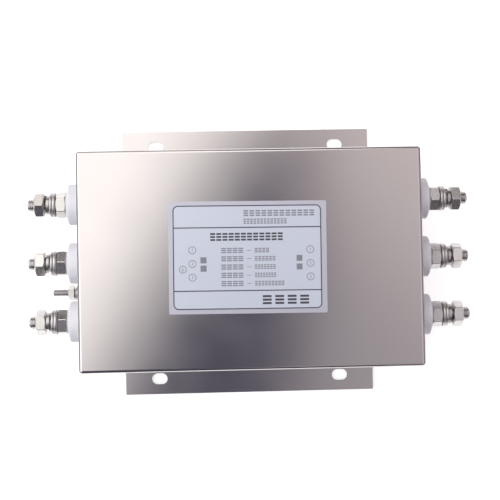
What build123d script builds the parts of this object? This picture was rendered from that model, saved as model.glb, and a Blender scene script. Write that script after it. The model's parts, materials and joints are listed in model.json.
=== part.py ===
from build123d import *
import os
from math import cos, radians, sin, tan

# Three-phase line filter in a folded steel case, with three M10 studs at each end.
# Millimetres. The origin is the centre of the base plate's underside, +Z goes up through
# the lid, +X points to the output (load) terminals and -X to the input (line) terminals.

# Case: one box of folded and welded sheet, open underneath
case_length = 250.0
case_width = 160.0
case_top = 80.0  # lid above the mounting surface
case_sheet = 1.2
case_bend = 2.4  # outer radius of the folds

# Base plate: one sheet with two mounting flanges and upturned lips that hold the case
base_sheet = 2.0
flange_length = 195.0
flange_width = 207.0
flange_corner = 0.5
slot_length = 12.0
slot_width = 8.5
slot_pitch_x = 142.0
slot_pitch_y = 183.0
lip_height = 14.0
lip_gap = 0.2  # between a lip and the case wall
lip_inner_bend = 0.5
end_lip_inset = 8.6  # from the outer face of a side lip to the end of an end lip
side_lip_length = 14.0
bend_relief = 3.0  # sheet cut back beside each lip

# Blind rivets through the case wall and the lips
rivet_diameter = 4.0
rivet_fit = 0.2  # hole over rivet
rivet_head_diameter = 8.0
rivet_head_height = 1.6
rivet_head_edge = 0.4  # height of the head at its rim
rivet_head_crown = 4.0  # diameter of its flat top
rivet_bulb_diameter = 6.0
rivet_bulb_length = 3.0
rivet_mandrel_hole = 2.0
rivet_mandrel_depth = 0.8
rivet_height = 8.0
end_rivet_inset = 10.0  # from the end of an end lip

# Rating label, stuck on the lid a little off centre and askew
label_length = 114.0
label_width = 81.0
label_thickness = 0.2
label_corner = 1.0
label_x = -2.4
label_y = 1.3
label_turn = -0.45

# Line terminals: M10 bolts whose heads are inside the case
terminal_pitch = 43.5
terminal_height = 50.0
terminal_rows = (1, 0, -1)  # phases 1, 2 and 3, from +Y to -Y
stud_diameter = 10.0
stud_length = 50.0  # under the head to the tip
stud_tip_chamfer = 1.2
stud_flats = 17.0
stud_head_height = 6.4
stud_fit = 0.4  # bores over the stud
nut_height = 8.0
nut_thread_fit = 0.1  # nut bores over the stud's plain diameter
nut_countersink = 0.4  # at both ends of a nut's bore
washer_diameter = 19.0
washer_thickness = 2.2
spring_section = 2.0
spring_height = 3.7  # as it stands, not pressed flat
spring_split = 10.0  # degrees of the turn that are open

# How each nut happens to be turned on its stud: degrees from a corner facing up,
# towards +Y, for phases 1, 2 and 3
input_clamp_turns = (28, 6, 13)
input_terminal_turns = (-3, -13, 29)
output_clamp_turns = (-11, 23, 24)
output_terminal_turns = (-9, -24, 30)
spring_turns = (70, 200, 310)

# Corner chamfers of all nuts and bolt heads
hexagon_face = 0.9  # diameter of the round face that they leave, over the flats
hexagon_slope = 30.0  # degrees

# Outer bushing: moulded disc with a coned nose and a spigot through the wall
bushing_diameter = 30.4
bushing_rim = 8.4  # height of the straight side
bushing_height = 10.2  # wall to nose
bushing_nose_diameter = 20.6
bushing_edge = 1.0
spigot_diameter = 18.0
spigot_reach = 4.8  # past the inside of the wall
spigot_fit = 0.3

# Inner bushing: moulded collar that takes the spigot
collar_diameter = 28.0
collar_thickness = 6.8
collar_edge = 0.8

# Earth terminal: M6 bolt on the input end, between phases 2 and 3
earth_y = -22.0
earth_height = 24.0
earth_diameter = 6.0
earth_length = 28.0
earth_tip_chamfer = 0.8
earth_flats = 10.0
earth_head_height = 4.0
earth_fit = 0.6
earth_nut_height = 5.0
earth_washer_diameter = 12.0
earth_washer_thickness = 1.6
earth_washer_play = 3.4  # room between the two nuts, in which the washer leans
earth_washer_lean = 8.0
earth_stud_turn = 30
earth_clamp_turn = 10
earth_nut_turn = 28
tooth_washer_diameter = 11.0
tooth_washer_thickness = 0.8
tooth_count = 8
tooth_depth = 1.2

# Insulating sheet on the base plate, and the capacitor boards that lie on it
insulator_thickness = 0.5
insulator_margin = 1.0
board_thickness = 1.6
board_edge = 3.0
board_gap = 1.5  # from the nearest strap

# Choke: one cased ring core with three windings of flat copper strip
core_outer_diameter = 102.0
core_inner_diameter = 62.0
core_height = 36.0
core_edge = 2.0
winding_gap = 0.4  # strip to core
strip_width = 7.0
strip_thickness = 3.0
strip_bend = 4.0
turns = 4
turn_angle = 18.0
winding_middles = (90, 210, 330)  # phases 1, 2 and 3 round the core
divider_thickness = 2.0
divider_gap = 0.3

# Copper straps from the terminals to the windings
strap_thickness = 3.0
strap_width = 14.0
strap_pad_width = 20.0
strap_clearance = 3.0
strap_crossing = 4.0  # between the two levels of straps

# Parts on the capacitor boards
x_cap_length = 31.5
x_cap_width = 20.0
x_cap_height = 32.0
y_cap_length = 26.5
y_cap_width = 10.0
y_cap_height = 19.0
cap_edge = 1.0
resistor_diameter = 6.0
resistor_length = 16.0
resistor_wire = 0.8
resistor_wire_length = 4.0
lead_diameter = 2.0
part_gap = 1.0

# Earth strap: bent strip from the earth bolt to the input board
earth_strap_width = 12.0
earth_strap_thickness = 1.0
earth_strap_bend = 1.5
earth_strap_foot = 8.0
earth_strap_gap = 1.0

# Places along X, measured from the middle of the case
wall_outer = case_length / 2
wall_inner = wall_outer - case_sheet
pad_outer = wall_inner - collar_thickness
pad_inner = pad_outer - strap_thickness
head_end = pad_inner - stud_head_height
lip_outer_x = wall_inner - lip_gap
side_lip_x = (flange_length / 2 + lip_outer_x) / 2

# Places along Y
side_wall_inner = case_width / 2 - case_sheet
lip_outer_y = side_wall_inner - lip_gap
end_lip_width = 2 * (lip_outer_y - end_lip_inset)
end_rivet_y = end_lip_width / 2 - end_rivet_inset

# Heights
floor = base_sheet + insulator_thickness  # top of the insulating sheet
core_bottom = floor + strip_thickness + winding_gap
core_top = core_bottom + core_height
winding_top = core_top + winding_gap + strip_thickness
stud_corner = stud_flats / 2 / cos(radians(30))
strap_level = max(terminal_height + stud_corner, winding_top) + strap_clearance
high_strap_level = strap_level + strap_thickness + strap_crossing
board_top = floor + board_thickness

# Radii of the windings
winding_inner = core_inner_diameter / 2 - winding_gap - strip_thickness
winding_outer = core_outer_diameter / 2 + winding_gap + strip_thickness
tab_radius = winding_outer - strip_thickness / 2

# Places of the parts between the choke and an end wall
board_inner = tab_radius + strap_width / 2 + board_gap
lead_x = board_inner + part_gap + lead_diameter / 2
x_cap_x = lead_x + lead_diameter / 2 + part_gap + x_cap_width / 2
y_cap_x = head_end - part_gap - y_cap_width / 2
resistor_x = head_end - part_gap - resistor_diameter / 2
board_length = 2 * terminal_pitch + x_cap_length + 2 * board_edge

near = 0.01  # edges and corners this close to a place are taken to lie on it
past = 0.5  # how far a shape that trims another runs past it
ends = (("input", -1), ("output", 1))
os.makedirs("parts", exist_ok=True)


def save(piece, name):
    """Label the finished piece and write it to its own file."""
    piece.part.label = name
    export_step(piece.part, f"parts/{name}.step")


def end_plane(end, y, z, reach, turn=0):
    """Plane facing outwards, `reach` beyond the outside of an end wall.

    Its x axis points up, turned by `turn` degrees towards +Y.
    """
    up = (0, sin(radians(turn)), cos(radians(turn)))
    return Plane(origin=(end * (wall_outer + reach), y, z), x_dir=up, z_dir=(end, 0, 0))


def terminal_planes(end, reach, angles=(0, 0, 0)):
    """One plane on each of the three studs of an end, phases 1 to 3."""
    return [
        end_plane(end, row * terminal_pitch, terminal_height, reach, turn)
        for row, turn in zip(terminal_rows, angles)
    ]


def hexagon(flats, height, bore, two_sided):
    """Hexagon on the XY plane with chamfered corners and, unless `bore` is 0, a round bore."""
    face_radius = hexagon_face * flats / 2
    cut_radius = flats / 2 / cos(radians(30)) + past
    cut_height = (cut_radius - face_radius) * tan(radians(hexagon_slope))
    foot = [(face_radius, 0), (cut_radius, cut_height)] if two_sided else [(cut_radius, 0)]
    inside = [(0, height), (0, 0)]
    if bore:
        mouth = bore / 2 + nut_countersink
        inside = [
            (mouth, height),
            (bore / 2, height - nut_countersink),
            (bore / 2, nut_countersink),
            (mouth, 0),
        ]
    with BuildPart() as body:
        with BuildSketch():
            RegularPolygon(flats / 2, 6, major_radius=False)
        extrude(amount=height)
        with BuildSketch(Plane.XZ):
            with BuildLine():
                Polyline(
                    *foot,
                    (cut_radius, height - cut_height),
                    (face_radius, height),
                    *inside,
                    close=True,
                )
            make_face()
        revolve(axis=Axis.Z, mode=Mode.INTERSECT)
    return body.part


def ring(outer_diameter, inner_diameter, thickness):
    """Flat washer standing on the XY plane."""
    with BuildPart() as washer:
        with BuildSketch():
            Circle(outer_diameter / 2)
            Circle(inner_diameter / 2, mode=Mode.SUBTRACT)
        extrude(amount=thickness)
    return washer.part


def split_ring(inner_diameter, section, height, split):
    """Spring washer: just under one left-hand turn of square wire, as tall as `height`."""
    rise = height - section
    turn = 1 - split / 360
    radius = (inner_diameter + section) / 2
    with BuildPart() as washer:
        with BuildLine():
            coil = Helix(rise / turn, rise, radius, center=(0, 0, section / 2), lefthand=True)
        with BuildSketch(Plane(origin=coil @ 0, x_dir=(1, 0, 0), z_dir=coil % 0)):
            Rectangle(section, section)
        sweep(is_frenet=True)
    return washer.part


def bolt(head, diameter, length, tip_chamfer):
    """Bolt along Z: the head below the XY plane, a plain shank with a chamfered tip above."""
    with BuildPart() as body:
        with Locations(Plane.XY.rotated((180, 0, 0))):
            add(head)
        with BuildSketch():
            Circle(diameter / 2)
        extrude(amount=length)
        chamfer(body.faces().sort_by(Axis.Z)[-1].edges(), length=tip_chamfer)
    return body.part


def copies(shape, planes):
    """The same shape standing on each of the planes, as one group of solids."""
    with BuildPart() as group:
        with Locations(*planes):
            add(shape)
    return group


# Case
side_wall_y = case_width / 2
side_rivet_planes = [
    Plane(
        origin=(x * side_lip_x, y * side_wall_y, rivet_height),
        x_dir=(1, 0, 0),
        z_dir=(0, y, 0),
    )
    for x in (-1, 1)
    for y in (-1, 1)
]
end_rivet_planes = [
    end_plane(end, y * end_rivet_y, rivet_height, 0)
    for _, end in ends
    for y in (-1, 1)
]
earth_wall_plane = end_plane(-1, earth_y, earth_height, 0)

with BuildPart() as case:
    with BuildSketch(Plane.XY.offset(base_sheet)):
        RectangleRounded(case_length, case_width, case_bend)
    extrude(amount=case_top - base_sheet)
    fillet(case.faces().sort_by(Axis.Z)[-1].edges(), radius=case_bend)
    offset(amount=-case_sheet, openings=case.faces().sort_by(Axis.Z)[0])
    with Locations(*terminal_planes(-1, 0), *terminal_planes(1, 0)):
        Hole((spigot_diameter + spigot_fit) / 2, depth=2 * case_sheet)
    with Locations(earth_wall_plane):
        Hole((earth_diameter + earth_fit) / 2, depth=2 * case_sheet)
    with Locations(*side_rivet_planes, *end_rivet_planes):
        Hole((rivet_diameter + rivet_fit) / 2, depth=2 * case_sheet)
save(case, "case")


def folds(plate, z, inset):
    """Edges of the plate at height z that run `inset` inside the outer face of a lip."""

    def on_fold(edge):
        middle = edge.center()
        in_line_x = abs(abs(middle.X) - lip_outer_x + inset) < near
        in_line_y = abs(abs(middle.Y) - lip_outer_y + inset) < near
        return abs(middle.Z - z) < near and (in_line_x or in_line_y)

    return plate.edges().filter_by(on_fold)


# Base plate
with BuildPart() as base_plate:
    with BuildSketch():
        Rectangle(2 * (lip_outer_x - bend_relief), 2 * (lip_outer_y - bend_relief))
        Rectangle(2 * lip_outer_x, end_lip_width)
        with GridLocations(2 * side_lip_x, 0, 2, 1):
            Rectangle(side_lip_length, 2 * lip_outer_y)
        Rectangle(flange_length, flange_width)
    extrude(amount=base_sheet)
    with BuildSketch(Plane.XY.offset(base_sheet)):
        with GridLocations(2 * lip_outer_x - base_sheet, 0, 2, 1):
            Rectangle(base_sheet, end_lip_width)
        with GridLocations(2 * side_lip_x, 2 * lip_outer_y - base_sheet, 2, 2):
            Rectangle(side_lip_length, base_sheet)
    extrude(amount=lip_height - base_sheet)

    fillet(folds(base_plate, base_sheet, base_sheet), radius=lip_inner_bend)
    fillet(folds(base_plate, 0, 0), radius=lip_inner_bend + base_sheet)
    flange_corners = (
        base_plate.edges()
        .filter_by(Axis.Z)
        .filter_by(lambda edge: abs(edge.center().Y) > flange_width / 2 - near)
    )
    fillet(flange_corners, radius=flange_corner)
    with BuildSketch():
        with GridLocations(slot_pitch_x, slot_pitch_y, 2, 2):
            SlotOverall(slot_length, slot_width)
    extrude(amount=base_sheet, mode=Mode.SUBTRACT)
    with Locations(*side_rivet_planes, *end_rivet_planes):
        Hole((rivet_diameter + rivet_fit) / 2, depth=2 * (case_sheet + lip_gap + base_sheet))
save(base_plate, "base_plate")

# Blind rivets, with a domed head outside and a pulled bulb behind the lip
grip = case_sheet + lip_gap + base_sheet
with BuildPart() as rivet:
    with BuildSketch(Plane.XZ):
        with BuildLine():
            Polyline(
                (rivet_head_diameter / 2, 0),
                (rivet_diameter / 2, 0),
                (rivet_diameter / 2, -grip),
                (rivet_bulb_diameter / 2, -grip),
                (rivet_bulb_diameter / 2, -grip - rivet_bulb_length / 2),
                (0, -grip - rivet_bulb_length),
                (0, rivet_head_height - rivet_mandrel_depth),
                (rivet_mandrel_hole / 2, rivet_head_height - rivet_mandrel_depth),
                (rivet_mandrel_hole / 2, rivet_head_height),
                (rivet_head_crown / 2, rivet_head_height),
                (rivet_head_diameter / 2, rivet_head_edge),
                close=True,
            )
        make_face()
    revolve(axis=Axis.Z)
save(copies(rivet.part, side_rivet_planes + end_rivet_planes), "base_rivets")

# Rating label
with BuildPart() as rating_label:
    with BuildSketch(Plane.XY.offset(case_top)):
        with Locations((label_x, label_y)):
            RectangleRounded(label_length, label_width, label_corner, rotation=label_turn)
    extrude(amount=label_thickness)
save(rating_label, "rating_label")

# Terminal hardware, in order from the wall outwards
stud_bore = stud_diameter + stud_fit
clamp_nut_place = bushing_height
washer_place = clamp_nut_place + nut_height
spring_place = washer_place + 2 * washer_thickness  # after an inner and an outer washer
terminal_nut_place = spring_place + spring_height
head_place = -(case_sheet + collar_thickness + strap_thickness)

nut = hexagon(stud_flats, nut_height, stud_diameter + nut_thread_fit, True)
flat_washer = ring(washer_diameter, stud_bore, washer_thickness)
spring_washer = split_ring(stud_bore, spring_section, spring_height, spring_split)
stud_head = hexagon(stud_flats, stud_head_height, 0, False)

with BuildPart() as outer_bushing:
    with BuildSketch(Plane.XZ):
        with BuildLine():
            Polyline(
                (stud_bore / 2, bushing_height),
                (bushing_nose_diameter / 2, bushing_height),
                (bushing_diameter / 2, bushing_rim),
                (bushing_diameter / 2, 0),
                (spigot_diameter / 2, 0),
                (spigot_diameter / 2, -case_sheet - spigot_reach),
                (stud_bore / 2, -case_sheet - spigot_reach),
                close=True,
            )
        make_face()
        nose_corners = [
            corner
            for corner in vertices()
            if corner.Y > bushing_rim - near and corner.X > stud_bore / 2 + near
        ]
        fillet(nose_corners, bushing_edge)
    revolve(axis=Axis.Z)

with BuildPart() as collar:
    with BuildSketch(Plane.XZ):
        with BuildLine():
            Polyline(
                (stud_bore / 2, -collar_thickness),
                (collar_diameter / 2 - collar_edge, -collar_thickness),
                (collar_diameter / 2, -collar_thickness + collar_edge),
                (collar_diameter / 2, 0),
                ((spigot_diameter + spigot_fit) / 2, 0),
                ((spigot_diameter + spigot_fit) / 2, -spigot_reach - spigot_fit),
                (stud_bore / 2, -spigot_reach - spigot_fit),
                close=True,
            )
        make_face()
    revolve(axis=Axis.Z)

stud = bolt(stud_head, stud_diameter, stud_length, stud_tip_chamfer)

clamp_turns = {"input": input_clamp_turns, "output": output_clamp_turns}
terminal_turns = {"input": input_terminal_turns, "output": output_terminal_turns}
for name, end in ends:
    for phase in (1, 2, 3):
        stud_plane = terminal_planes(end, head_place)[phase - 1]
        wall_plane = terminal_planes(end, 0)[phase - 1]
        inner_plane = terminal_planes(end, -case_sheet)[phase - 1]
        save(copies(stud, [stud_plane]), f"{name}_stud_{phase}")
        save(copies(outer_bushing.part, [wall_plane]), f"{name}_bushing_{phase}")
        save(copies(collar.part, [inner_plane]), f"{name}_inner_bushing_{phase}")
    clamp_planes = terminal_planes(end, clamp_nut_place, clamp_turns[name])
    inner_washer_planes = terminal_planes(end, washer_place)
    outer_washer_planes = terminal_planes(end, washer_place + washer_thickness)
    spring_planes = terminal_planes(end, spring_place, spring_turns)
    nut_planes = terminal_planes(end, terminal_nut_place, terminal_turns[name])
    save(copies(nut, clamp_planes), f"{name}_clamp_nuts")
    save(copies(flat_washer, inner_washer_planes), f"{name}_inner_flat_washers")
    save(copies(flat_washer, outer_washer_planes), f"{name}_outer_flat_washers")
    save(copies(spring_washer, spring_planes), f"{name}_spring_washers")
    save(copies(nut, nut_planes), f"{name}_terminal_nuts")

# Earth terminal
earth_bore = earth_diameter + earth_fit
earth_head_place = -(case_sheet + tooth_washer_thickness + earth_strap_thickness)
earth_nut_place = earth_nut_height + earth_washer_play
earth_nut = hexagon(earth_flats, earth_nut_height, earth_diameter + nut_thread_fit, True)
earth_head = hexagon(earth_flats, earth_head_height, 0, False)

earth_stud = bolt(earth_head, earth_diameter, earth_length, earth_tip_chamfer)
earth_stud_plane = end_plane(-1, earth_y, earth_height, earth_head_place, earth_stud_turn)
save(copies(earth_stud, [earth_stud_plane]), "earth_stud")

earth_clamp_plane = end_plane(-1, earth_y, earth_height, 0, earth_clamp_turn)
earth_nut_plane = end_plane(-1, earth_y, earth_height, earth_nut_place, earth_nut_turn)
save(copies(earth_nut, [earth_clamp_plane]), "earth_clamp_nut")
save(copies(earth_nut, [earth_nut_plane]), "earth_terminal_nut")

lean = radians(earth_washer_lean)
washer_reach = earth_nut_height + earth_washer_play / 2
leaning_plane = Plane(
    origin=(-(wall_outer + washer_reach), earth_y, earth_height),
    x_dir=(0, 0, 1),
    z_dir=(-cos(lean), sin(lean), 0),
).offset(-earth_washer_thickness / 2)
earth_washer = ring(earth_washer_diameter, earth_bore, earth_washer_thickness)
save(copies(earth_washer, [leaning_plane]), "earth_flat_washer")

with BuildPart() as earth_tooth_washer:
    with BuildSketch(end_plane(-1, earth_y, earth_height, -case_sheet)):
        Circle(tooth_washer_diameter / 2)
        Circle(earth_bore / 2, mode=Mode.SUBTRACT)
        with PolarLocations(tooth_washer_diameter / 2, tooth_count):
            Rectangle(2 * tooth_depth, tooth_depth, mode=Mode.SUBTRACT)
    extrude(amount=-tooth_washer_thickness)
save(earth_tooth_washer, "earth_tooth_washer")

# Earth strap: flat on the washer, over the lip, then down to a foot on the board
strap_x = -(wall_inner - tooth_washer_thickness - earth_strap_thickness / 2)
strap_drop_x = -(head_end + earth_strap_gap + earth_strap_thickness / 2)
strap_shelf = earth_height - earth_flats / 2 - earth_strap_gap - earth_strap_thickness / 2
strap_foot_z = board_top + earth_strap_thickness / 2
with BuildPart() as earth_strap:
    with BuildSketch(Plane.XZ.offset(-earth_y)):
        with BuildLine():
            FilletPolyline(
                (strap_x, earth_height + earth_strap_width / 2),
                (strap_x, strap_shelf),
                (strap_drop_x, strap_shelf),
                (strap_drop_x, strap_foot_z),
                (strap_drop_x + earth_strap_foot, strap_foot_z),
                radius=earth_strap_bend,
            )
        trace(line_width=earth_strap_thickness)
    extrude(amount=earth_strap_width / 2, both=True)
    with Locations(earth_wall_plane):
        Hole(earth_bore / 2, depth=2 * (case_sheet + tooth_washer_thickness))
save(earth_strap, "earth_strap")

# Insulating sheet between the lips
with BuildPart() as base_insulator:
    with BuildSketch(Plane.XY.offset(base_sheet)):
        Rectangle(
            2 * (lip_outer_x - base_sheet - insulator_margin),
            2 * (lip_outer_y - base_sheet - insulator_margin),
        )
    extrude(amount=insulator_thickness)
save(base_insulator, "base_insulator")

# Choke core, cased
with BuildPart() as choke_core:
    with BuildSketch(Plane.XY.offset(core_bottom)):
        Circle(core_outer_diameter / 2)
        Circle(core_inner_diameter / 2, mode=Mode.SUBTRACT)
    extrude(amount=core_height)
    chamfer(choke_core.edges().filter_by(GeomType.CIRCLE), length=core_edge)
save(choke_core, "choke_core")

# Three-armed divider that keeps the windings apart in the bore of the core
divider_radius = core_inner_diameter / 2 - divider_gap
with BuildPart() as phase_divider:
    with BuildSketch(Plane.XY.offset(floor)):
        with PolarLocations(divider_radius / 2, 3, start_angle=winding_middles[0] - 60):
            Rectangle(divider_radius, divider_thickness)
        Circle(divider_thickness)
    extrude(amount=core_top - floor)
save(phase_divider, "phase_divider")


def loop_profile(tab_top=None):
    """One turn seen along the core: up through the bore, over the top and down outside.

    With `tab_top`, the outer leg is a tab that goes up to that height instead.
    """
    leg = winding_outer - strip_thickness
    under = winding_top - strip_thickness
    if tab_top is None:
        outside = [(winding_outer, winding_top), (winding_outer, floor), (leg, floor)]
        outside += [(leg, under)]
    else:
        outside = [(leg, winding_top), (leg, tab_top), (winding_outer, tab_top)]
        outside += [(winding_outer, under)]
    with BuildSketch() as profile:
        with BuildLine():
            Polyline(
                (winding_inner, floor),
                (winding_inner, winding_top),
                *outside,
                (winding_inner + strip_thickness, under),
                (winding_inner + strip_thickness, floor),
                close=True,
            )
        make_face()
        outer_bends = [
            corner
            for corner in vertices()
            if abs(corner.Y - winding_top) < near and abs(corner.X - leg) > near
        ]
        if tab_top is not None:
            outer_bends += vertices().filter_by(
                lambda corner: corner.X > leg + near and abs(corner.Y - under) < near
            )
        fillet(outer_bends, strip_bend)
    return profile.sketch


def winding(start_angle, step, start_top, end_top):
    """Strip winding: a start tab, `turns` passes up through the bore, and an end tab.

    Each pass is joined to the one before it by a flat link under the core, which runs
    from the outer leg at one angle to the inner leg at the next.
    """
    angles = [start_angle + step * index for index in range(turns + 1)]
    whole_turn = loop_profile()
    last_turn = loop_profile(end_top)
    with BuildPart() as strip:
        with BuildSketch(Plane.XY.offset(floor)):
            with PolarLocations(tab_radius, 1, start_angle=angles[0]):
                Rectangle(strip_thickness, strip_width)
        extrude(amount=start_top - floor)
        for angle in angles[1:]:
            profile = last_turn if angle == angles[-1] else whole_turn
            across = (cos(radians(angle)), sin(radians(angle)), 0)
            along = (sin(radians(angle)), -cos(radians(angle)), 0)
            with BuildSketch(Plane(origin=(0, 0, 0), x_dir=across, z_dir=along)):
                add(profile)
            extrude(amount=strip_width / 2, both=True)
        for outer_angle, inner_angle in zip(angles, angles[1:]):
            with BuildSketch(Plane.XY.offset(floor)):
                with PolarLocations(tab_radius, 1, start_angle=outer_angle):
                    Rectangle(strip_thickness, strip_width)
                inner_middle = winding_inner + strip_thickness / 2
                with PolarLocations(inner_middle, 1, start_angle=inner_angle):
                    Rectangle(strip_thickness, strip_width)
                make_hull()
            extrude(amount=strip_thickness)
    return strip


def on_tab(angle):
    """Middle of a winding's tab, seen from above."""
    return (tab_radius * cos(radians(angle)), tab_radius * sin(radians(angle)))


half_span = turn_angle * turns / 2
directions = (-1, 1, 1)  # each winding starts on its input side
start_angles = [
    middle - direction * half_span
    for middle, direction in zip(winding_middles, directions)
]
steps = [direction * turn_angle for direction in directions]
end_levels = (strap_level, high_strap_level, strap_level)
end_angles = [start + step * turns for start, step in zip(start_angles, steps)]
for phase in (1, 2, 3):
    coil_strip = winding(
        start_angles[phase - 1], steps[phase - 1], strap_level, end_levels[phase - 1]
    )
    save(coil_strip, f"winding_{phase}")


def strap(end, y, level, route):
    """Copper strap: an upright pad under the bolt head, folded over into a flat run."""
    pad_x = end * (pad_outer + pad_inner) / 2
    pad_plane = Plane(origin=(end * pad_outer, y, 0), x_dir=(0, end, 0), z_dir=(end, 0, 0))
    points = [(pad_x, y), *route]
    with BuildPart() as bar:
        with BuildSketch(pad_plane):
            with Locations((0, (terminal_height + level + strap_thickness) / 2)):
                Rectangle(strap_pad_width, level + strap_thickness - terminal_height)
            with Locations((0, terminal_height)):
                Circle(strap_pad_width / 2)
                Circle(stud_bore / 2, mode=Mode.SUBTRACT)
        extrude(amount=-strap_thickness)
        with BuildSketch(Plane.XY.offset(level)):
            for (x_from, y_from), (x_to, y_to) in zip(points, points[1:]):
                with Locations(((x_from + x_to) / 2, (y_from + y_to) / 2)):
                    Rectangle(
                        abs(x_to - x_from) + strap_width, abs(y_to - y_from) + strap_width
                    )
            beyond = pad_x + end * (strap_thickness + strap_width) / 2
            with Locations((beyond, y)):
                Rectangle(strap_width, 2 * strap_width, mode=Mode.SUBTRACT)
        extrude(amount=strap_thickness)
    return bar


side_run_x = winding_outer + strap_clearance + strap_width / 2
side_run_y = (winding_outer + side_wall_inner) / 2  # in the middle of the room beside the choke
row_y = [row * terminal_pitch for row in terminal_rows]
starts = [on_tab(angle) for angle in start_angles]
finishes = [on_tab(angle) for angle in end_angles]
input_routes = (
    [(starts[0][0], row_y[0]), starts[0]],
    [(starts[1][0], row_y[1]), starts[1]],
    [(-side_run_x, row_y[2]), (-side_run_x, -side_run_y), (starts[2][0], -side_run_y), starts[2]],
)
output_routes = (
    [(finishes[0][0], row_y[0]), finishes[0]],
    [(finishes[1][0], row_y[1]), finishes[1]],
    [(finishes[2][0], row_y[2]), finishes[2]],
)
for phase in (1, 2, 3):
    y = row_y[phase - 1]
    save(strap(-1, y, strap_level, input_routes[phase - 1]), f"input_strap_{phase}")
    save(strap(1, y, end_levels[phase - 1], output_routes[phase - 1]), f"output_strap_{phase}")

# Capacitor boards and what is on them
lead_tops = {"input": (strap_level,) * 3, "output": end_levels}
for name, end in ends:
    with BuildPart() as board:
        with BuildSketch(Plane.XY.offset(floor)):
            with Locations((end * (board_inner + head_end) / 2, 0)):
                Rectangle(head_end - board_inner, board_length)
        extrude(amount=board_thickness)
    save(board, f"{name}_capacitor_board")

    with BuildPart() as x_capacitors:
        with BuildSketch(Plane.XY.offset(board_top)):
            with Locations(*[(end * x_cap_x, y) for y in row_y]):
                RectangleRounded(x_cap_width, x_cap_length, cap_edge)
        extrude(amount=x_cap_height)
    save(x_capacitors, f"{name}_x_capacitors")

    with BuildPart() as capacitor_leads:
        for y, top in zip(row_y, lead_tops[name]):
            with BuildSketch(Plane.XY.offset(board_top)):
                with Locations((end * lead_x, y)):
                    Circle(lead_diameter / 2)
            extrude(amount=top - board_top)
    save(capacitor_leads, f"{name}_capacitor_leads")

with BuildPart() as y_capacitors:
    with BuildSketch(Plane.XY.offset(board_top)):
        with Locations(*[(-y_cap_x, y) for y in row_y]):
            RectangleRounded(y_cap_width, y_cap_length, cap_edge)
    extrude(amount=y_cap_height)
save(y_capacitors, "y_capacitors")

with BuildPart() as discharge_resistors:
    for y in row_y:
        middle = Plane(
            origin=(resistor_x, y, board_top + resistor_diameter / 2), z_dir=(0, 1, 0)
        )
        with BuildSketch(middle):
            Circle(resistor_diameter / 2)
        extrude(amount=resistor_length / 2, both=True)
        with BuildSketch(middle):
            Circle(resistor_wire / 2)
        extrude(amount=resistor_length / 2 + resistor_wire_length, both=True)
save(discharge_resistors, "discharge_resistors")
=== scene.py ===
# %% [markdown]
# # A three-phase line filter, seen from above
#
# A flat steel box with two slotted flanges, three threaded studs in white bushings at each
# end, one small earth stud and a printed label on the lid. The CAD model gives every solid
# its real size and place. What is left for Blender is what the eye reads as "real": the
# grey sweep that a plated lid mirrors from the studio, the threads, and the print.

import bpy
import json
import math
import numpy as np
from mathutils import Matrix


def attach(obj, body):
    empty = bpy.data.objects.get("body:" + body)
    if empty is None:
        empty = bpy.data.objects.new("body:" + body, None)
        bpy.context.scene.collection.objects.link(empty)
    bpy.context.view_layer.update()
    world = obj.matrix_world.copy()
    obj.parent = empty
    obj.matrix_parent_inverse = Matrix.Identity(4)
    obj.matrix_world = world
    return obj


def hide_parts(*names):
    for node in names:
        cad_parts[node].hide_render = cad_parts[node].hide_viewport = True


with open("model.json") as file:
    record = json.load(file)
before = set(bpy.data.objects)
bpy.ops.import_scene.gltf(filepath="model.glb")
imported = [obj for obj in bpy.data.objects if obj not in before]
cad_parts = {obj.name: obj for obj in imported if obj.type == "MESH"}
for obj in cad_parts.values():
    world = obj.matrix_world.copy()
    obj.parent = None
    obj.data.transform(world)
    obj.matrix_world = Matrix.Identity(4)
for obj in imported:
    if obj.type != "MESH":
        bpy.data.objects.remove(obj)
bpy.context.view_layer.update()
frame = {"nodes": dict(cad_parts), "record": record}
cad_nodes = frame["nodes"]
MM = 0.001

# %% [markdown]
# ## Small tools
#
# Colours are written as people pick them, in sRGB hex, while Blender's sockets want linear
# values, so one function turns one into the other. One more function adds a shader node
# with its settings and its links in a single readable line. The few patterns that come
# back in most finishes, such as a smooth step, a mix of two colours or a bump, are small
# functions on top of it.

# %% Colour and node helpers
def linear(hex_colour):
    """sRGB hex to linear RGBA: c/12.92 below 0.04045, else ((c + 0.055)/1.055) to the 2.4."""
    srgb = np.array([int(hex_colour[i : i + 2], 16) for i in (1, 3, 5)]) / 255
    low, high = srgb / 12.92, ((srgb + 0.055) / 1.055) ** 2.4
    return (*np.where(srgb <= 0.04045, low, high).tolist(), 1.0)


def add(tree, kind, settings=None, **links):
    """Add a node. Settings go to its properties or sockets, links go from sockets to inputs.

    An input is named by its socket's name with _ for a space, or as i0, i1 and so on.
    """
    node = tree.nodes.new(kind)
    for key, value in (settings or {}).items():
        if key in node.inputs:
            node.inputs[key].default_value = value
        else:
            setattr(node, key, value)
    for key, source in links.items():
        number = key[1:] if key[0] == "i" else ""
        socket = node.inputs[int(number)] if number.isdigit() else node.inputs[key.replace("_", " ")]
        tree.links.new(source, socket)
    return node


def material(name):
    """A new node material: its tree, its Principled shader and the Object coordinates."""
    made = bpy.data.materials.new(name)
    made.use_nodes = True
    tree = made.node_tree
    shader = tree.nodes["Principled BSDF"]
    place = tree.nodes.new("ShaderNodeTexCoord").outputs["Object"]
    return made, tree, shader, place


def ramp(tree, value, start, end, low, high):
    """Smooth step of a value: low up to start, high from end on."""
    ends = {"From Min": start, "From Max": end, "To Min": low, "To Max": high}
    node = add(tree, "ShaderNodeMapRange", {"interpolation_type": "SMOOTHSTEP", **ends}, Value=value)
    return node.outputs["Result"]


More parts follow.
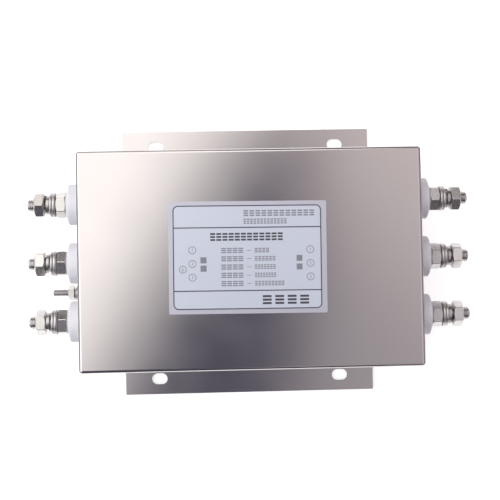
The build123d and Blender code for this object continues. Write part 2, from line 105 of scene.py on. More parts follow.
def maths(tree, operation, *values):
    """A sum, product or the like of one or two values."""
    links = {f"i{number}": value for number, value in enumerate(values)}
    return add(tree, "ShaderNodeMath", {"operation": operation}, **links).outputs[0]


def two_colours(tree, shader, factor, first, second):
    """Let the shader's colour go from the first to the second as the factor goes from 0 to 1."""
    mix = add(tree, "ShaderNodeMix", {"data_type": "RGBA"}, i0=factor)
    colour_a, colour_b, result = mix.inputs[6], mix.inputs[7], mix.outputs[2]
    colour_a.default_value, colour_b.default_value = linear(first), linear(second)
    tree.links.new(result, shader.inputs["Base Color"])


def varied_roughness(tree, shader, noise, middle, spread):
    """Roughness from middle - spread where the noise is 0.3 to middle + spread where it is 0.7."""
    ends = {"From Min": 0.3, "From Max": 0.7, "To Min": middle - spread, "To Max": middle + spread}
    rough = add(tree, "ShaderNodeMapRange", ends, Value=noise)
    tree.links.new(rough.outputs["Result"], shader.inputs["Roughness"])


def raised(tree, shader, height, strength, depth_m):
    """Lift the surface by a height pattern of that depth in metres."""
    bump = add(tree, "ShaderNodeBump", {"Strength": strength, "Distance": depth_m}, Height=height)
    tree.links.new(bump.outputs["Normal"], shader.inputs["Normal"])


print("linear mid grey:", [round(c, 3) for c in linear("#808080")])

# %% [markdown]
# ## Surfaces from numbers
#
# Every new piece is a surface worked out with numpy. A grid of points needs only one rule
# to become faces: each point is joined to its right and upper neighbours. Where the grid
# goes once round an axis, its last column is joined to its first, and a single point
# closes each end, so the piece is a closed skin with no seam.

# %% Mesh helpers
def object_from(name, points, faces, finish, smooth_below=None):
    """A mesh object of those points and faces. Edges sharper than the angle stay crisp."""
    mesh = bpy.data.meshes.new(name)
    mesh.from_pydata(np.asarray(points).tolist(), [], [f.tolist() for f in faces])
    mesh.validate()
    if smooth_below is not None:
        mesh.shade_smooth()
        mesh.set_sharp_from_angle(angle=math.radians(smooth_below))
    mesh.materials.append(finish)
    made = bpy.data.objects.new(name, mesh)
    bpy.context.scene.collection.objects.link(made)
    return made


def turned_faces(rows, columns):
    """Faces of a closed skin of rows x columns points, then a first and a last pole."""
    at = np.arange(rows * columns).reshape(rows, columns)
    beside = np.roll(at, -1, axis=1)
    quads = np.stack([at[:-1], beside[:-1], beside[1:], at[1:]], axis=-1).reshape(-1, 4)
    first, last = rows * columns, rows * columns + 1
    start = np.stack([beside[0], at[0], np.full(columns, first)], axis=-1)
    end = np.stack([at[-1], beside[-1], np.full(columns, last)], axis=-1)
    return [*quads, *start, *end]


print("faces of a 3 x 4 skin:", len(turned_faces(3, 4)))

# %% [markdown]
# ## The camera
#
# The photograph looks straight down from a little under a metre, a touch towards the line
# end and the lower side. Its place and its small turns were found by fitting a pinhole
# camera to the corners of the lid and the flanges, the four slots and the six stud tips.

# %% Camera
focal_px, image_px, sensor_mm = 1079.1, 500, 36.0
tilt, roll, twist = (math.radians(angle) for angle in (-1.604, 2.129, 1.204))
turns = ((tilt, "X"), (roll, "Y"), (twist, "Z"))
about_x, about_y, about_z = (np.array(Matrix.Rotation(a, 3, axis)) for a, axis in turns)
to_view = about_x @ about_y @ about_z
shifted = np.array([2.04, 8.65, 857.2]) * MM

lens = bpy.data.cameras.new("copy_stand_camera")
lens.sensor_width = sensor_mm
lens.lens = focal_px * sensor_mm / image_px
lens.clip_start, lens.clip_end = 0.01, 50.0
camera = bpy.data.objects.new("copy_stand_camera", lens)
pose = np.eye(4)
pose[:3, :3] = to_view.T
pose[:3, 3] = to_view.T @ shifted
camera.matrix_world = Matrix(pose.tolist())
bpy.context.scene.collection.objects.link(camera)
bpy.context.scene.camera = camera
print("camera at", pose[:3, 3].round(4), "m, lens", round(lens.lens, 2), "mm")

# %% [markdown]
# ## The studio
#
# A plated lid has almost no colour of its own: it shows the room. In the photograph it goes
# from near white at the left, through a violet grey in the middle where it mirrors the
# camera and the dim ceiling, to a warm mid grey at the right. So the room is modelled, as
# cards that the object sees and the camera doesn't.

# %% Card helpers
def card(name, corners, emission):
    """A flat four-cornered card of the room, which only the object sees."""
    made = object_from(name, corners, [np.arange(4)], emission)
    made.visible_camera = False
    made.visible_shadow = False
    return made


def card_material(name):
    """An empty tree for a card, its output node and its Object coordinates."""
    made, tree, shader, place = material(name)
    tree.nodes.remove(shader)
    return made, tree, tree.nodes["Material Output"], place


def glow(tree, colour, strength):
    """Light of one colour with a strength that varies over the card."""
    return add(tree, "ShaderNodeEmission", {"Color": linear(colour)}, Strength=strength).outputs[0]


def slanted(tree, place, degrees, axis):
    """One coordinate of a place after it is turned about Z by that angle."""
    turned = add(tree, "ShaderNodeMapping", {"Rotation": (0, 0, math.radians(degrees))}, Vector=place)
    return add(tree, "ShaderNodeSeparateXYZ", Vector=turned.outputs[0]).outputs[axis]


room_half, room_height = 2.0, 2.2
print("room:", 2 * room_half, "m wide,", room_height, "m high")

# %% [markdown]
# The ceiling has one bright softbox side, one grey side, a slow rise towards the far end
# and a strip along the right, over an even dim light. Each is a smooth step, and all but
# the strip step across a slanted line. The grey side and the rise fade out before the
# ceiling's right and far edges.

# %% Ceiling
ceiling_finish, tree, out, place = card_material("ceiling_light")
straight = add(tree, "ShaderNodeSeparateXYZ", Vector=place).outputs
softbox = ramp(tree, slanted(tree, place, 28.5, "X"), -0.385, 0.032, 1.69, 0.0)
edge_x = ramp(tree, straight["X"], 0.8, 1.3, 1.0, 0.0)
edge_y = ramp(tree, straight["Y"], 0.7, 1.3, 1.0, 0.0)
within = maths(tree, "MULTIPLY", edge_x, edge_y)
grey_step = ramp(tree, slanted(tree, place, 3.7, "X"), 0.082, 0.376, 0.0, 0.41)
grey_side = maths(tree, "MULTIPLY", within, grey_step)
rise_step = ramp(tree, slanted(tree, place, 45, "Y"), 0.105, 0.649, 0.0, 0.36)
far_rise = maths(tree, "MULTIPLY", within, rise_step)
right_strip = ramp(tree, straight["X"], 0.6, 0.95, 0.0, 0.6)
lights = (("#FFFDF5", softbox), ("#FFF8F0", grey_side), ("#FFF1E6", far_rise), ("#F8EAF8", right_strip))
whole = add(tree, "ShaderNodeEmission", {"Color": linear("#DEDCFF"), "Strength": 0.16}).outputs[0]
for colour, strength in lights:
    whole = add(tree, "ShaderNodeAddShader", i0=whole, i1=glow(tree, colour, strength)).outputs[0]
tree.links.new(whole, out.inputs["Surface"])
h, top = room_half, room_height
card("ceiling_card", [(-h, -h, top), (-h, h, top), (h, h, top), (h, -h, top)], ceiling_finish)
print("ceiling lights:", len(lights) + 1)

# %% [markdown]
# The rounded edge of the lid mirrors the room from the ceiling down to the table within
# three millimetres. Walls that are lighter above and dark up to 0.75 m draw a light line
# and a dark line along it, as in the photograph. The far wall is two cards, light at the
# left and dim at the right. The near wall is three, of which the middle one is the dimmest.

# %% Walls
def wall(name, colour, start, end, low, high, upper):
    """A wall that stands on the line from start to end, as high as the room.

    Its strength is low up to 0.75 m, high from 1.05 to 1.4 m, and upper from 1.7 m.
    """
    finish, tree, out, place = card_material(name + "_light")
    height = add(tree, "ShaderNodeSeparateXYZ", Vector=place).outputs["Z"]
    strength = ramp(tree, height, 0.75, 1.05, low, high)
    if upper != high:
        faded = ramp(tree, height, 1.4, 1.7, 1.0, upper / high)
        strength = maths(tree, "MULTIPLY", strength, faded)
    tree.links.new(glow(tree, colour, strength), out.inputs["Surface"])
    corners = [(*start, 0), (*end, 0), (*end, room_height), (*start, room_height)]
    return card(name, corners, finish)


mid = 0.46  # half the width of the near wall's middle card, in metres
walls = [
    wall("left_wall", "#F8F8FF", (-h, h), (-h, -h), 0.05, 2.4, 2.9),
    wall("right_wall", "#FFF4F2", (h, -h), (h, h), 0.03, 0.75, 0.6),
    wall("far_left_wall", "#FFFAF6", (0, h), (-h, h), 0.04, 1.5, 1.5),
    wall("far_right_wall", "#FFF2F0", (h, h), (0, h), 0.03, 0.25, 0.15),
    wall("near_left_wall", "#F2EEFF", (-h, -h), (-mid, -h), 0.07, 0.18, 0.18),
    wall("near_middle_wall", "#F2EEFF", (-mid, -h), (mid, -h), 0.02, 0.09, 0.12),
    wall("near_right_wall", "#F0DEF0", (mid, -h), (h, -h), 0.17, 0.24, 0.24),
]
print("walls:", len(walls))

# %% [markdown]
# The table is white paper. To the camera and in reflections it also glows a little, which
# makes it white and still leaves the soft shadow round the filter. The world behind it is
# white in the same way, and half as strong as a light.

# %% Table and world
def where_seen(tree, unseen, seen):
    """The seen strength for camera, mirror and transmitted rays, the unseen one for others."""
    rays = tree.nodes.new("ShaderNodeLightPath").outputs
    direct = maths(tree, "MAXIMUM", rays["Is Camera Ray"], rays["Is Glossy Ray"])
    either = maths(tree, "MAXIMUM", direct, rays["Is Transmission Ray"])
    ends = {"To Min": unseen, "To Max": seen}
    return add(tree, "ShaderNodeMapRange", ends, Value=either).outputs["Result"]


table_half, table_level = 6.0, -0.0002
paper, tree, out, place = card_material("white_paper")
sheet_shade = add(tree, "ShaderNodeBsdfDiffuse", {"Color": linear("#F4F4F4")}).outputs[0]
lift = glow(tree, "#FFFFFF", where_seen(tree, 0.0, 0.6))
both = add(tree, "ShaderNodeAddShader", i0=sheet_shade, i1=lift).outputs[0]
tree.links.new(both, out.inputs["Surface"])
signs = ((-1, -1), (1, -1), (1, 1), (-1, 1))
table_corners = [(table_half * x, table_half * y, table_level) for x, y in signs]
table = object_from("white_table", table_corners, [np.arange(4)], paper)

world = bpy.data.worlds.new("white_room")
bpy.context.scene.world = world
world.use_nodes = True
sky = world.node_tree
sky.nodes["Background"].inputs["Color"].default_value = linear("#FFFFFF")
sky.links.new(where_seen(sky, 0.5, 1.0), sky.nodes["Background"].inputs["Strength"])
bpy.context.scene.view_settings.view_transform = "Standard"
print("table", 2 * table_half, "m wide")

# %% [markdown]
# ## Plated steel sheet
#
# The box and the base are cold-rolled steel sheet with a thin bright plating. Rolling
# leaves it smooth, so it mirrors the room softly, with a faint unevenness from handling
# and very fine rolling lines. It could be a plain metal shader, but then the lid would
# look like glass. Here a slow noise moves the roughness a little, and a stretched noise
# gives the lines a height of a few microns. Along the folds at the two terminal ends the
# colour is darkened to a thin dark line outside the light one: a painted dark reflection
# of the low, dark room in the bend. The base is cut after plating, so the rims of its slots
# are dark raw steel.

# %% Sheet finishes
def plated_sheet(name, colour, roughness, line_mm):
    """Metal whose roughness drifts over 40 mm, with rolling lines line_mm apart along X."""
    made, tree, shader, place = material(name)
    shader.inputs["Base Color"].default_value = linear(colour)
    shader.inputs["Metallic"].default_value = 1.0
    drift = add(tree, "ShaderNodeTexNoise", {"Scale": 1 / (40 * MM), "Detail": 3.0}, Vector=place)
    varied_roughness(tree, shader, drift.outputs["Fac"], roughness, 0.02)
    drawn = add(tree, "ShaderNodeMapping", {"Scale": (0.02, 1, 1)}, Vector=place).outputs[0]
    lines = add(tree, "ShaderNodeTexNoise", {"Scale": 1 / (line_mm * MM), "Detail": 2.0}, Vector=drawn)
    raised(tree, shader, lines.outputs["Fac"], 0.15, 0.02 * MM)
    return made


def painted_fold_reflection(finish, colour, painted_dark, half_length, top):
    """Painted dark reflection: the colour falls to a darker one along the folds at both ends. Sizes are
    in mm.

    The mask is a step in |x| that ends 0.5 mm inside the outer face, times a step in height
    that ends about where the bend begins.
    """
    tree = finish.node_tree
    place = add(tree, "ShaderNodeTexCoord").outputs["Object"]
    at = add(tree, "ShaderNodeSeparateXYZ", Vector=place).outputs
    out_to = maths(tree, "ABSOLUTE", at["X"])
    rim = ramp(tree, out_to, (half_length - 1.2) * MM, (half_length - 0.5) * MM, 0.0, 1.0)
    high = ramp(tree, at["Z"], (top - 3.2) * MM, (top - 2.2) * MM, 0.0, 1.0)
    # where the mask is 1 the colour is the painted dark reflection of the bend
    mask = maths(tree, "MULTIPLY", rim, high)
    two_colours(tree, tree.nodes["Principled BSDF"], mask, colour, painted_dark)


def raw_edges(finish, colour, raw, thickness):
    """Give the rims of a flat sheet the colour of its raw cut.

    The mask is a step in |normal z|, times a step that ends at the sheet's own thickness in
    millimetres, so that upturned lips keep their plating.
    """
    tree = finish.node_tree
    place = add(tree, "ShaderNodeTexCoord").outputs["Object"]
    height = add(tree, "ShaderNodeSeparateXYZ", Vector=place).outputs["Z"]
    in_sheet = ramp(tree, height, thickness * MM, (thickness + 0.1) * MM, 1.0, 0.0)
    facing = add(tree, "ShaderNodeNewGeometry").outputs["True Normal"]
    upward = add(tree, "ShaderNodeSeparateXYZ", Vector=facing).outputs["Z"]
    upright = ramp(tree, maths(tree, "ABSOLUTE", upward), 0.5, 0.7, 1.0, 0.0)
    mask = maths(tree, "MULTIPLY", upright, in_sheet)
    two_colours(tree, tree.nodes["Principled BSDF"], mask, colour, raw)


sheet_colour = "#C8C3C4"
lid_sheet = plated_sheet("bright_plated_sheet", sheet_colour, 0.12, 0.6)
# 827C7D is a painted dark reflection along the lid's two folds, not a colour of the plating
painted_fold_reflection(lid_sheet, sheet_colour, "#827C7D", 125.0, 80.0)
base_sheet = plated_sheet("bright_plated_base", sheet_colour, 0.14, 0.6)
raw_edges(base_sheet, sheet_colour, "#4E4A49", 2.0)
print("sheet finishes:", lid_sheet.name, base_sheet.name)

# %% [markdown]
# ## Nickel, zinc and copper
#
# Studs, nuts and washers are bright nickel-plated steel, the spring washers are duller
# zinc. Inside, the windings and straps are bare copper strip. Each is the same idea at
# another scale: a metal colour, a roughness, and a fine grain that breaks both up.

# %% Metal finishes
def small_metal(name, colour, stained, roughness, grain_mm):
    """Metal that drifts between a clean and a stained colour, with a grain of that size."""
    made, tree, shader, place = material(name)
    shader.inputs["Metallic"].default_value = 1.0
    stain = add(tree, "ShaderNodeTexNoise", {"Scale": 1 / (6 * MM), "Detail": 4.0}, Vector=place)
    two_colours(tree, shader, stain.outputs["Fac"], colour, stained)
    grain = add(tree, "ShaderNodeTexNoise", {"Scale": 1 / (grain_mm * MM), "Detail": 2.0}, Vector=place)
    varied_roughness(tree, shader, grain.outputs["Fac"], roughness, 0.04)
    raised(tree, shader, grain.outputs["Fac"], 0.2, 0.03 * MM)
    return made


nut_nickel = small_metal("nickel_plated_nuts", "#D7D5D3", "#C5C2C1", 0.27, 0.5)
stud_nickel = small_metal("nickel_plated_thread", "#D2CFCE", "#BEBBBA", 0.22, 0.4)
washer_nickel = small_metal("nickel_plated_washers", "#CFCCCC", "#BDBABA", 0.34, 0.5)
spring_zinc = small_metal("zinc_plated_spring", "#C4C0C1", "#A8A4A5", 0.28, 0.4)
rivet_aluminium = small_metal("rivet_aluminium", "#CFCFD0", "#B9B9BB", 0.30, 0.4)
bare_copper = small_metal("bare_copper_strip", "#C87E5C", "#A35F45", 0.30, 0.8)
tinned_copper = small_metal("tinned_copper", "#C9C8C4", "#AFAEA8", 0.32, 0.5)
print("metals:", nut_nickel.name, stud_nickel.name, washer_nickel.name, spring_zinc.name)

# %% [markdown]
# ## Mouldings, film and boards
#
# The bushings are white nylon: matt, faintly see-through, with the slight mottle of a
# moulded part. The label is a polyester film with a thin silver backing, so it is part
# paint, part mirror: it fades from the bright side of the room to the dim one. The pieces
# in the box are seen only when the lid is off, and they still get what the real ones have.

# %% Plastic finishes
def moulding(name, colour, shade, roughness, grain_mm, depth_mm, ior=1.5, under_skin=0.0, metallic=0.0):
    """Plastic or resin: two close colours over a soft grain, which also lifts the surface."""
    made, tree, shader, place = material(name)
    shader.inputs["Metallic"].default_value = metallic
    shader.inputs["IOR"].default_value = ior
    shader.inputs["Roughness"].default_value = roughness
    if under_skin:
        shader.inputs["Subsurface Weight"].default_value = under_skin
        shader.inputs["Subsurface Radius"].default_value = (1.0, 1.0, 1.0)
        shader.inputs["Subsurface Scale"].default_value = 2 * MM
    grain = add(tree, "ShaderNodeTexNoise", {"Scale": 1 / (grain_mm * MM), "Detail": 3.0}, Vector=place)
    two_colours(tree, shader, grain.outputs["Fac"], colour, shade)
    raised(tree, shader, grain.outputs["Fac"], 0.3, depth_mm * MM)
    return made


white_nylon = moulding("white_nylon", "#F0F1F6", "#E8E9F0", 0.45, 1.2, 0.02, 1.53, 0.15)
label_film = moulding("silver_backed_film", "#CDCDDA", "#C7C7D4", 0.30, 2.5, 0.004, metallic=0.45)
core_case = moulding("core_epoxy_coat", "#2B2C2F", "#232427", 0.45, 1.0, 0.03)
divider_plastic = moulding("divider_moulding", "#D9D4C6", "#CDC8B8", 0.5, 1.0, 0.02)
insulating_film = moulding("insulating_film", "#D8C98E", "#CBBB7E", 0.35, 3.0, 0.01)
board_laminate = moulding("paper_laminate", "#C9B271", "#BBA363", 0.55, 0.6, 0.02)
capacitor_resin = moulding("yellow_capacitor_case", "#D9BC3A", "#CFB02E", 0.40, 1.0, 0.02)
small_capacitor_resin = moulding("blue_capacitor_case", "#3F6FA8", "#376499", 0.35, 1.0, 0.02)
resistor_coat = moulding("resistor_coating", "#8C9F8F", "#7F9382", 0.5, 0.5, 0.02)
print("mouldings:", white_nylon.name, label_film.name)

# %% [markdown]
# The frame's record says which material slot each CAD piece has. Each slot gets one finish
# here, so a new piece in a known slot needs no new line.

# %% Put the finishes on the CAD pieces
finish_of_slot = {
    "case_sheet": lid_sheet,
    "base_sheet": base_sheet,
    "rivet": rivet_aluminium,
    "label_film": label_film,
    "bushing_plastic": white_nylon,
    "stud_steel": stud_nickel,
    "nut_steel": nut_nickel,
    "washer_steel": washer_nickel,
    "spring_steel": spring_zinc,
    "copper": bare_copper,
    "tinned_strip": tinned_copper,
    "core_case": core_case,
    "divider_plastic": divider_plastic,
    "insulating_sheet": insulating_film,
    "circuit_board": board_laminate,
    "capacitor_case": capacitor_resin,
    "small_capacitor_case": small_capacitor_resin,
    "lead_wire": tinned_copper,
    "resistor_body": resistor_coat,
}
for piece in frame["record"]["subparts"]:
    cad_nodes[piece["node"]].material_slots[0].material = finish_of_slot[piece["material_slot"]]

# %% [markdown]
# ## Where the terminals are
#
# The studs, nuts and washers of one end stand in the same three places and differ only in
# how far out they start. So the places are worked out once, from the end and the start.

# %% Places of the terminals
phase_rows = (43.5, 0.0, -43.5)
terminal_height = 50.0
shank_start = 114.0  # where a stud's head meets its shank
both_ends = (("input", -1), ("output", 1))


def terminal_row(axis, start):
    """The three places of one end's terminals, at that distance from the middle, in mm."""
    return [(axis * start, y, terminal_height) for y in phase_rows]


print("shanks of the input end start at:", terminal_row(-1, shank_start))

# %% [markdown]
# ## Threaded studs
#
# The CAD studs are plain at the thread's largest diameter. The real ones are cut all
# along, and the bare tips show it as fine dark lines. A helix could be swept and joined to
# a rod, but one formula does it all: the bolt is a surface of two parameters, the angle
# round it and the way along it, and the thread is a wave that travels with the angle.

# %% Bolt surface
def bolt_skin(way, angle, shape):
    """Radius of a bolt in mm at each way along it and each angle.

    Over the head it is that of a hexagon, flats/2 over the cosine of the angle from the
    nearest flat. Over the shank it is the major radius less a thread: the phase is
    way/pitch less angle/turn, and the depth follows a flat-topped triangle wave of it. A
    cone of 45 degrees trims the tip.
    """
    from_flat = np.mod(angle, math.pi / 3) - math.pi / 6
    hexagon = shape["flats"] / 2 / np.cos(from_flat)
    phase = np.mod(way / shape["pitch"] - angle / (2 * math.pi), 1.0)
    wave = np.clip((np.abs(2 * phase - 1) - 0.06) / 0.7, 0, 1)
    thread = shape["diameter"] / 2 - 0.61 * shape["pitch"] * wave
    cone = shape["diameter"] / 2 - (way - shape["length"] + shape["tip"])
    return np.where(way < 0, hexagon, np.minimum(thread, cone))


def threaded_bolt(name, shape, start, axis, turn):
    """The bolt's skin, from the head's far face to the tip, carried to its place."""
    columns, rows_per_pitch = 72, 8
    shank = np.linspace(0, shape["length"], int(shape["length"] / shape["pitch"] * rows_per_pitch))
    face_radius, chamfer = 0.475 * shape["flats"], 0.025 * shape["flats"]
    way = np.concatenate([[-shape["head"], -shape["head"] + chamfer, -1e-6], shank])
    angle = np.linspace(0, 2 * math.pi, columns, endpoint=False)
    W, A = np.meshgrid(way, angle, indexing="ij")
    R = bolt_skin(W, A, shape)
    R[0] = np.minimum(R[0], face_radius)
    up = np.array([0, math.sin(turn), math.cos(turn)])
    out = np.array([axis, 0, 0])
    side = np.cross(out, up)
    ring = np.cos(A)[..., None] * up + np.sin(A)[..., None] * side
    points = (R[..., None] * ring + W[..., None] * out).reshape(-1, 3)
    poles = np.array([way[0] * out, way[-1] * out])
    points = (np.vstack([points, poles]) + np.array(start)) * MM
    return object_from(name, points, turned_faces(len(way), columns), stud_nickel, 35)


m10 = {"flats": 17.0, "head": 6.4, "diameter": 10.0, "length": 50.0, "pitch": 1.5, "tip": 1.2}
for end, axis in both_ends:
    for phase, place in enumerate(terminal_row(axis, shank_start), 1):
        node = f"{end}_stud_{phase}"
        bolt = threaded_bolt(f"{node}_threaded", m10, place, axis, 0.0)
        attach(bolt, "root")
        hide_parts(node)
m6 = {"flats": 10.0, "head": 4.0, "diameter": 6.0, "length": 28.0, "pitch": 1.0, "tip": 0.8}
earth = threaded_bolt("earth_stud_threaded", m6, (-122.0, -22.0, 24.0), -1, math.radians(30))
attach(earth, "root")
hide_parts("earth_stud")
print("thread points on an M10 stud:", len(bolt.data.vertices))

# %% [markdown]
# ## Hexagon nuts
#
# A nut is cut from hexagon bar, and both its faces are turned with a 30 degree chamfer,
# which leaves a round face and six arcs. A bevel on a hexagonal prism gives straight edges
# and no arcs. Here the rim is a function of the angle: the bar's radius is the flat's over a
# cosine, and the chamfer reaches the height at which its cone meets that radius. Each edge
# gets one more row beside it, so that it is blunt and catches a thin light line.

# %% Nut surface
def closed_faces(rows, columns):
    """Faces of a ring-shaped skin, whose grid of points is closed in both directions."""
    at = np.arange(rows * columns).reshape(rows, columns)
    along, beside = np.roll(at, -1, axis=0), np.roll(at, -1, axis=1)
    both = np.roll(along, -1, axis=1)
    return np.stack([at, along, both, beside], axis=-1).reshape(-1, 4)


def nut_skin(flats, height, bore, turn, blunt=0.12):
    """Points and faces of a nut turned about X, from 0 to its height.

    Radius of the bar at an angle: flats/2 over the cosine of the angle from the nearest
    flat, cut a little short of the corner. Drop of the chamfer at a radius: (radius - face
    radius) times the tangent of 30 degrees. The profile goes from the bore over one face,
    down the side, over the other face and back through the bore.
    """
    slope, face = math.tan(math.radians(30)), 0.9 * flats / 2
    one_flat = np.radians(np.linspace(-28.6, 28.6, 13))
    angle = np.concatenate([one_flat + k * math.pi / 3 for k in range(6)])
    from_flat = np.mod(angle + math.pi / 6, math.pi / 3) - math.pi / 6
    bar = flats / 2 / np.cos(from_flat)
    drop = np.maximum(bar - face, 0) * slope
    inner_drop = np.maximum(bar - blunt - face, 0) * slope
    same = np.ones_like(bar)
    near = [
        (bore * same, height / 2 * same),
        (bore * same, 0.5 * same),
        ((bore + 0.5) * same, 0 * same),
        (np.minimum(face, bar - blunt), 0 * same),
        (bar - blunt, inner_drop),
        (bar, drop + blunt),
    ]
    far_side = [(radius, height - way) for radius, way in reversed(near[1:])]
    radius, way = (np.stack(rows) for rows in zip(*near, *far_side))
    at_angle = angle + math.radians(turn) + math.pi / 6
    points = np.stack([way, radius * np.sin(at_angle), radius * np.cos(at_angle)], axis=-1)
    return points.reshape(-1, 3), closed_faces(*radius.shape)


def set_on(skins, places, axis):
    """Several skins about X as one, each carried to its place; axis -1 mirrors them in X."""
    sizes = np.cumsum([0] + [len(points) for points, _ in skins])
    points = np.vstack([skin[0] * (axis, 1, 1) + place for skin, place in zip(skins, places)])
    order = slice(None) if axis > 0 else slice(None, None, -1)
    faces = np.vstack([skin[1][:, order] + size for skin, size in zip(skins, sizes)])
    return points * MM, faces


nut_bore = 5.05
nut_layers = {  # side of the middle, start, height, and the turn of each nut in degrees
    "input_clamp_nuts": (-1, 135.2, 8.0, (28, 6, 13)),
    "input_terminal_nuts": (-1, 151.3, 7.6, (-3, -13, 29)),
    "output_clamp_nuts": (1, 135.2, 8.0, (-11, 23, 24)),
    "output_terminal_nuts": (1, 151.3, 7.6, (-9, -24, 30)),
}
for node, (axis, start, height, turns) in nut_layers.items():
    skins = [nut_skin(m10["flats"], height, nut_bore, turn) for turn in turns]
    points, faces = set_on(skins, terminal_row(axis, start), axis)
    nuts = object_from(f"{node}_cut", points, faces, nut_nickel, 25)
    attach(nuts, "root")
    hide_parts(node)
print("points on three nuts:", len(points))

# %% [markdown]
# ## Flat washers
#
# A flat washer's rim is rounded on both sides, so two washers laid together show two light
# bands with a dark groove between them. The CAD washers are square-edged. A bevel modifier
# would round all their edges the same way, the bore's too. Here one closed profile, with a
# wide rounding at the rim and a small chamfer at the bore, is turned about the stud, three
# to a node.

# %% Washer surface
def ring_skin(inner, outer, thickness, rounding, columns=96, steps=6):
    """Points and faces of a washer turned about X, from 0 to its thickness.

    The profile goes along the bore and back along the rim. Each corner of the rim is a
    quarter circle of the rounding: radius outer - rounding + rounding * cos(a), and way
    rounding - rounding * sin(a) at the near side, mirrored at the far side.
    """
    quarter = np.linspace(0, math.pi / 2, steps)
    corner = np.column_stack([np.cos(quarter), -np.sin(quarter)])
    near = (outer - rounding, rounding) + rounding * corner
    far_side = np.column_stack([near[::-1, 0], thickness - near[::-1, 1]])
    bore = [(inner + 0.15, 0), (inner, 0.15), (inner, thickness - 0.15), (inner + 0.15, thickness)]
    profile = np.vstack([bore, far_side, near])
    angle = np.linspace(0, 2 * math.pi, columns, endpoint=False)
    radius, way = profile[:, :1], np.repeat(profile[:, 1:], columns, axis=1)
    points = np.stack([way, radius * np.cos(angle), radius * np.sin(angle)], axis=-1)
    return points.reshape(-1, 3), closed_faces(len(profile), columns)


washer_bore, washer_thickness = 5.25, 2.2
for end, axis in both_ends:
    for layer, start, outer, rounding in (("inner", 143.2, 9.4, 0.8), ("outer", 145.4, 9.1, 0.9)):
        skins = [ring_skin(washer_bore, outer, washer_thickness, rounding)] * 3
        node = f"{end}_{layer}_flat_washers"
        points, faces = set_on(skins, terminal_row(axis, start), axis)
        washers = object_from(f"{node}_stamped", points, faces, washer_nickel, 40)
        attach(washers, "root")
        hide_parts(node)
print("faces on three washers:", len(faces))

# %% [markdown]
# ## Print on the label
#
# The real label carries a frame line, two rules, circled terminal marks and lines of text.
# The frame, the rules and the circles are drawn as they are. The text is left off: in its
# place stand plain blocks of the same size and tone. The print is a flat skin 0.02 mm
# above the film, built in the label's own millimetres and then turned with it.

# %% Ink
def ink(name, colour, thinner):
    """Screen ink: matt, and a little uneven in tone over a millimetre."""
    return moulding(name, colour, thinner, 0.55, 1.0, 0.002)


dark_ink = ink("slate_ink", "#3A3E54", "#43475D")
text_ink = ink("text_ink", "#80828F", "#888A98")
title_ink = ink("title_ink", "#3E3F4A", "#474853")
field_ink = moulding("cool_field", "#D4DBE8", "#CFD6E4", 0.3, 1.0, 0.002, metallic=0.25)
label_centre, label_turn = np.array([-2.4, 1.3]), math.radians(-0.45)
print_level = 80.22  # in mm, like the label's own sizes
print("inks:", dark_ink.name, text_ink.name, title_ink.name, field_ink.name)


def on_label(flat, level):
    """Label millimetres to metres in the frame: turn by the label's slant, then move."""
    flat = np.asarray(flat, float)
    c, s = math.cos(label_turn), math.sin(label_turn)
    turned = flat @ np.array([[c, s], [-s, c]]) + label_centre
    return np.column_stack([turned, np.full(len(turned), level)]) * MM


def printed(name, flat, faces, finish, level=print_level):
    """One skin of ink on the label."""
    made = object_from(name, on_label(flat, level), faces, finish)
    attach(made, "root")
    return made


# %% [markdown]
# All of the print but the numbers is made of filled outlines and of strips between two
# outlines. Curves with a thickness could draw the lines too, but here a line's width is
# simply the distance between its two outlines.

# %% Lines, rings and blocks
def round_corners(half_x, half_y, radius, middle=(0, 0), steps=8):
    """Outline of a rounded rectangle: a quarter circle about each corner's centre in turn."""
    quarter = np.linspace(0, math.pi / 2, steps)
    angle = np.concatenate([quarter + k * math.pi / 2 for k in range(4)])
    sign = np.repeat([(1, 1), (-1, 1), (-1, -1), (1, -1)], steps, axis=0)
    centre = sign * [half_x - radius, half_y - radius]
    return centre + radius * np.column_stack([np.cos(angle), np.sin(angle)]) + middle


def band(outer, inner):
    """Points and faces of the strip between two outlines with as many points each."""
    count = len(outer)
    at = np.arange(count)
    beside = np.roll(at, -1)
    return np.vstack([outer, inner]), np.column_stack([at, beside, beside + count, at + count])


def joined(parts):
    """Several (points, faces) pairs as one, each part's faces counted on from the last."""
    starts = np.cumsum([0] + [len(points) for points, _ in parts[:-1]])
    points = np.vstack([points for points, _ in parts])
    counted = [np.asarray(faces) + start for (_, faces), start in zip(parts, starts)]
    return points, [face for faces in counted for face in faces]


def block(left, top, right, bottom):
    """A filled rectangle, its points counter-clockwise."""
    corners = np.array([(left, bottom), (right, bottom), (right, top), (left, top)])
    return corners, np.array([[0, 1, 2, 3]])


def row_of_blocks(left, top, right, bottom, count, gap, bars=3):
    """In the place of each printed sign, some equal bars over each other with gaps between."""
    width = (right - left - gap * (count - 1)) / count
    starts = left + (width + gap) * np.arange(count)
    rung = (top - bottom) / (1.6 * bars - 0.6)
    tops = top - 1.6 * rung * np.arange(bars)
    return [block(x, y, x + width, y - rung) for x in starts for y in tops]


def circle(x, y, radius, line):
    """A ring of that line width."""
    outer = round_corners(radius, radius, radius, (x, y))
    inner = round_corners(radius - line, radius - line, radius - line, (x, y))
    return band(outer, inner)


middle = (-0.3, 0.1)
frame_line = band(round_corners(53.6, 37.5, 3.9, middle), round_corners(52.8, 36.7, 3.1, middle))
field = round_corners(53.2, 37.1, 3.5, middle)
printed("label_field", field, [np.arange(len(field))], field_ink, print_level - 0.01)
rules = [block(-53.4, 21.9, 53.0, 21.1), block(-53.4, -23.6, 53.0, -24.4)]
printed("label_frame_print", *joined([frame_line, *rules]), dark_ink)
print("points in the frame line:", len(frame_line[0]))

# %% [markdown]
# Seven circles are drawn: three terminal marks at each end, and one for earth with a stem
# over three shorter and shorter bars. The lines of text become rows of blocks, with three
# thin bars in the place of each sign. The other blocks are plain rectangles.

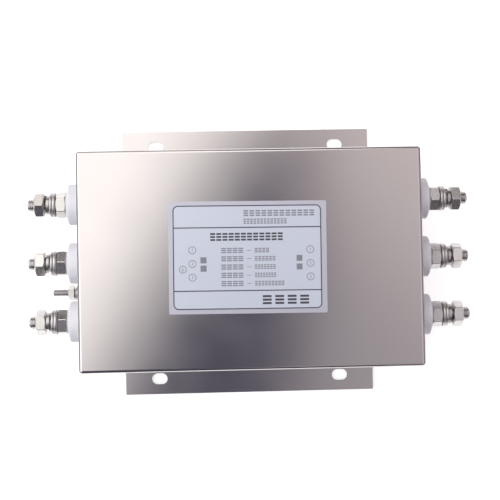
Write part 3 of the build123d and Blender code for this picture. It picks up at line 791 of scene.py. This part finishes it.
# %% Circles and blocks
left_marks = [(-40.0, 5.4), (-40.0, -4.4), (-40.0, -14.2)]
right_marks = [(45.1, 5.2), (45.1, -4.7), (45.1, -14.4)]
rings = [circle(x, y, 2.8, 0.5) for x, y in (*left_marks, *right_marks, (-46.9, -8.4))]
earth_mark = [block(-47.05, -6.6, -46.75, -8.6)]
for w, y in ((1.5, -8.6), (1.0, -9.4), (0.5, -10.2)):
    earth_mark.append(block(-46.9 - w, y + 0.15, -46.9 + w, y - 0.15))
printed("label_ring_print", *joined([*rings, *earth_mark]), text_ink)

lines = row_of_blocks(-2.8, 33.9, 48.3, 29.6, 12, 0.9)
lines += row_of_blocks(-2.9, 27.8, 28.2, 24.0, 13, 0.6)
for index, (right, count) in enumerate(((15.3, 4), (19.8, 6), (19.9, 7), (20.1, 8), (26.0, 9))):
    above = 6.8 - 5.95 * index
    lines += row_of_blocks(-19.2, above, -3.4, above - 3.7, 4, 0.6)
    lines += [block(-0.8, above - 1.7, 2.6, above - 2.1)]
    lines += row_of_blocks(4.9, above - 0.2, right, above - 3.5, count, 0.5)
lines += [block(-34.2, 0.3, -29.8, -4.1), block(-34.2, -5.7, -29.8, -10.1)]
lines += [block(35.1, 1.2, 39.3, -3.1), block(35.1, -5.0, 39.3, -9.3)]
printed("label_text_blocks", *joined(lines), text_ink)
title = row_of_blocks(-27.0, 17.6, 25.3, 12.0, 12, 0.8)
title += row_of_blocks(10.3, -27.5, 43.7, -34.0, 4, 2.6)
printed("label_title_blocks", *joined(title), title_ink)
print("blocks:", len(lines) + len(title))

# %% [markdown]
# Plain numbers stand in the six terminal circles. Blender's own font gives their outlines,
# which are turned into flat faces first and then printed by the same rule as the rest.

# %% Numbers in the circles
for (x, y), number in zip((*left_marks, *right_marks), "123123"):
    letter = bpy.data.curves.new("number", "FONT")
    letter.body, letter.size = number, 3.4
    letter.align_x = letter.align_y = "CENTER"
    holder = bpy.data.objects.new("number", letter)
    flat = bpy.data.meshes.new_from_object(holder)
    points = np.empty(len(flat.vertices) * 3)
    flat.vertices.foreach_get("co", points)
    faces = [np.array(face.vertices) for face in flat.polygons]
    side = "left" if x < 0 else "right"
    printed(f"label_number_{side}_{number}", points.reshape(-1, 3)[:, :2] + (x, y), faces, text_ink)
    bpy.data.objects.remove(holder)
    bpy.data.curves.remove(letter)
    bpy.data.meshes.remove(flat)
print("numbered circles:", len(left_marks) + len(right_marks))
